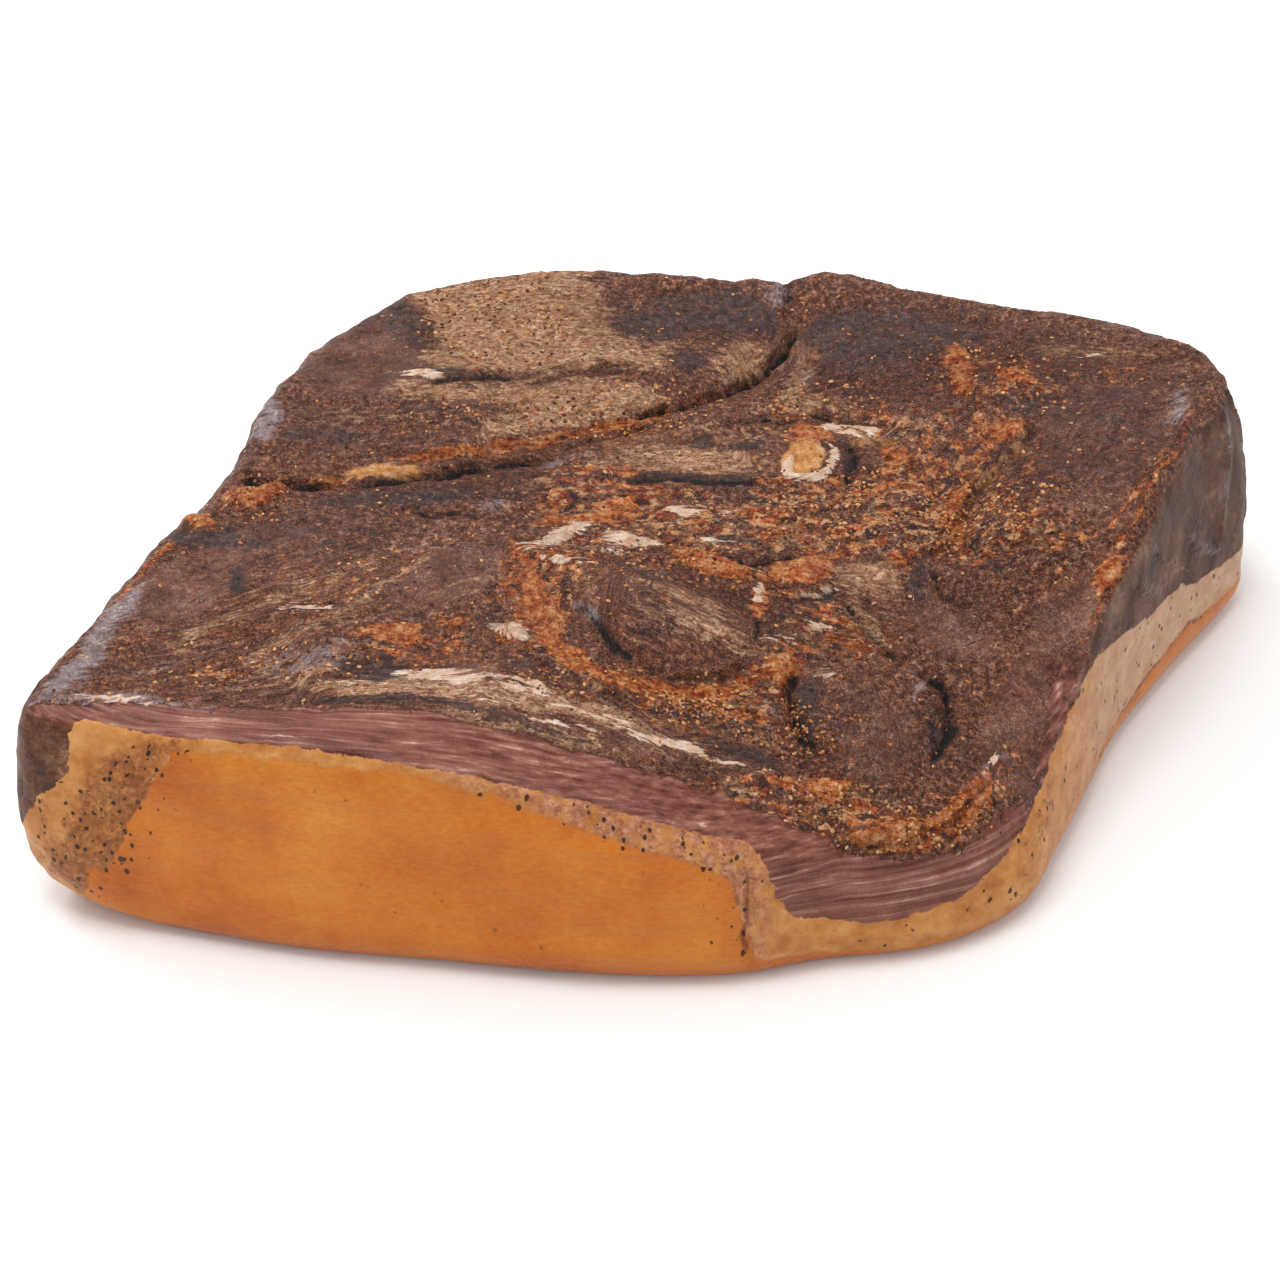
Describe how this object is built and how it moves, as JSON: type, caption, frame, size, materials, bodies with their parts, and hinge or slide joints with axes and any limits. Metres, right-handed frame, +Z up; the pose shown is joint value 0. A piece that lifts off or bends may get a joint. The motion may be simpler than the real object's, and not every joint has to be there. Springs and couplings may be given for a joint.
{
  "type": "smoked ham",
  "caption": "Boneless smoked ham, pressed flat and lying rind down: a slab of dark cured meat with a rim of fat and a glossy brown rind.",
  "frame": {"origin": "under the middle of the ham's box, on the flat of the rind that it rests on", "axes": "+X along the ham's longest side, +Y across it, +Z up through its thickness"},
  "size_m": [0.425, 0.3004, 0.0932],
  "materials": {
    "cured_meat": null
  },
  "bodies": {
    "root": {"smoked_ham": "cured_meat"}
  },
  "joints": []
}
